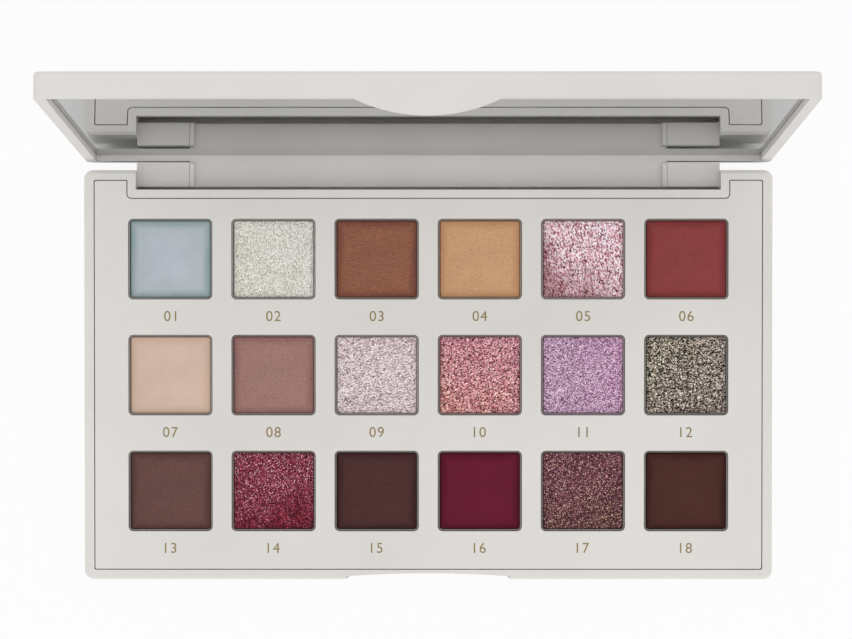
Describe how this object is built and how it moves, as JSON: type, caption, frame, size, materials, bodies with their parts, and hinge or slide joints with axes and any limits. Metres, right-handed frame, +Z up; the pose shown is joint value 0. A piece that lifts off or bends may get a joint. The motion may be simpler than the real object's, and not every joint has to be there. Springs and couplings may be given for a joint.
{
  "type": "eyeshadow palette",
  "caption": "Open eyeshadow palette: a flat plastic case with a mirror lid on a rear hinge, and rows of pressed powder pans in a drop-in deck.",
  "frame": {"origin": "centre of the case's underside, where it rests", "axes": "+X along the width to the right, +Y towards the hinge, +Z up"},
  "size_m": [0.168, 0.1181, 0.1023],
  "materials": {
    "casing": "satin warm light grey",
    "deck": "satin warm light grey",
    "pan_metal": "dull drawn metal",
    "glue": "soft clear glue",
    "pin_steel": "ground steel",
    "magnet": "nickel plated",
    "mirror_glass": "silvered glass",
    "adhesive": "double-sided film",
    "powder_01": "pressed matte powder",
    "powder_02": "pressed shimmer powder",
    "powder_03": "pressed matte powder",
    "powder_04": "pressed matte powder",
    "powder_05": "pressed shimmer powder",
    "powder_06": "pressed matte powder",
    "powder_07": "pressed matte powder",
    "powder_08": "pressed matte powder",
    "powder_09": "pressed shimmer powder",
    "powder_10": "pressed shimmer powder",
    "powder_11": "pressed shimmer powder",
    "powder_12": "pressed shimmer powder",
    "powder_13": "pressed matte powder",
    "powder_14": "pressed shimmer powder",
    "powder_15": "pressed matte powder",
    "powder_16": "pressed matte powder",
    "powder_17": "pressed shimmer powder",
    "powder_18": "pressed matte powder"
  },
  "bodies": {
    "base": {"base_shell": "casing", "pan_deck": "deck", "pan_01": "pan_metal", "pan_02": "pan_metal", "pan_03": "pan_metal", "pan_04": "pan_metal", "pan_05": "pan_metal", "pan_06": "pan_metal", "pan_07": "pan_metal", "pan_08": "pan_metal", "pan_09": "pan_metal", "pan_10": "pan_metal", "pan_11": "pan_metal", "pan_12": "pan_metal", "pan_13": "pan_metal", "pan_14": "pan_metal", "pan_15": "pan_metal", "pan_16": "pan_metal", "pan_17": "pan_metal", "pan_18": "pan_metal", "powder_01": "powder_01", "powder_02": "powder_02", "powder_03": "powder_03", "powder_04": "powder_04", "powder_05": "powder_05", "powder_06": "powder_06", "powder_07": "powder_07", "powder_08": "powder_08", "powder_09": "powder_09", "powder_10": "powder_10", "powder_11": "powder_11", "powder_12": "powder_12", "powder_13": "powder_13", "powder_14": "powder_14", "powder_15": "powder_15", "powder_16": "powder_16", "powder_17": "powder_17", "powder_18": "powder_18", "pan_glue_dots": "glue", "hinge_pin_left": "pin_steel", "hinge_pin_right": "pin_steel", "base_magnets": "magnet"},
    "lid": {"lid_shell": "casing", "mirror": "mirror_glass", "mirror_adhesive": "adhesive", "lid_magnets": "magnet"}
  },
  "joints": [
    {"name": "lid_hinge", "type": "hinge", "parent": "base", "child": "lid", "pos_m": [0, 0.0476, 0.00533], "axis": [-1, 0, 0], "range_deg": [-96, 7]}
  ]
}
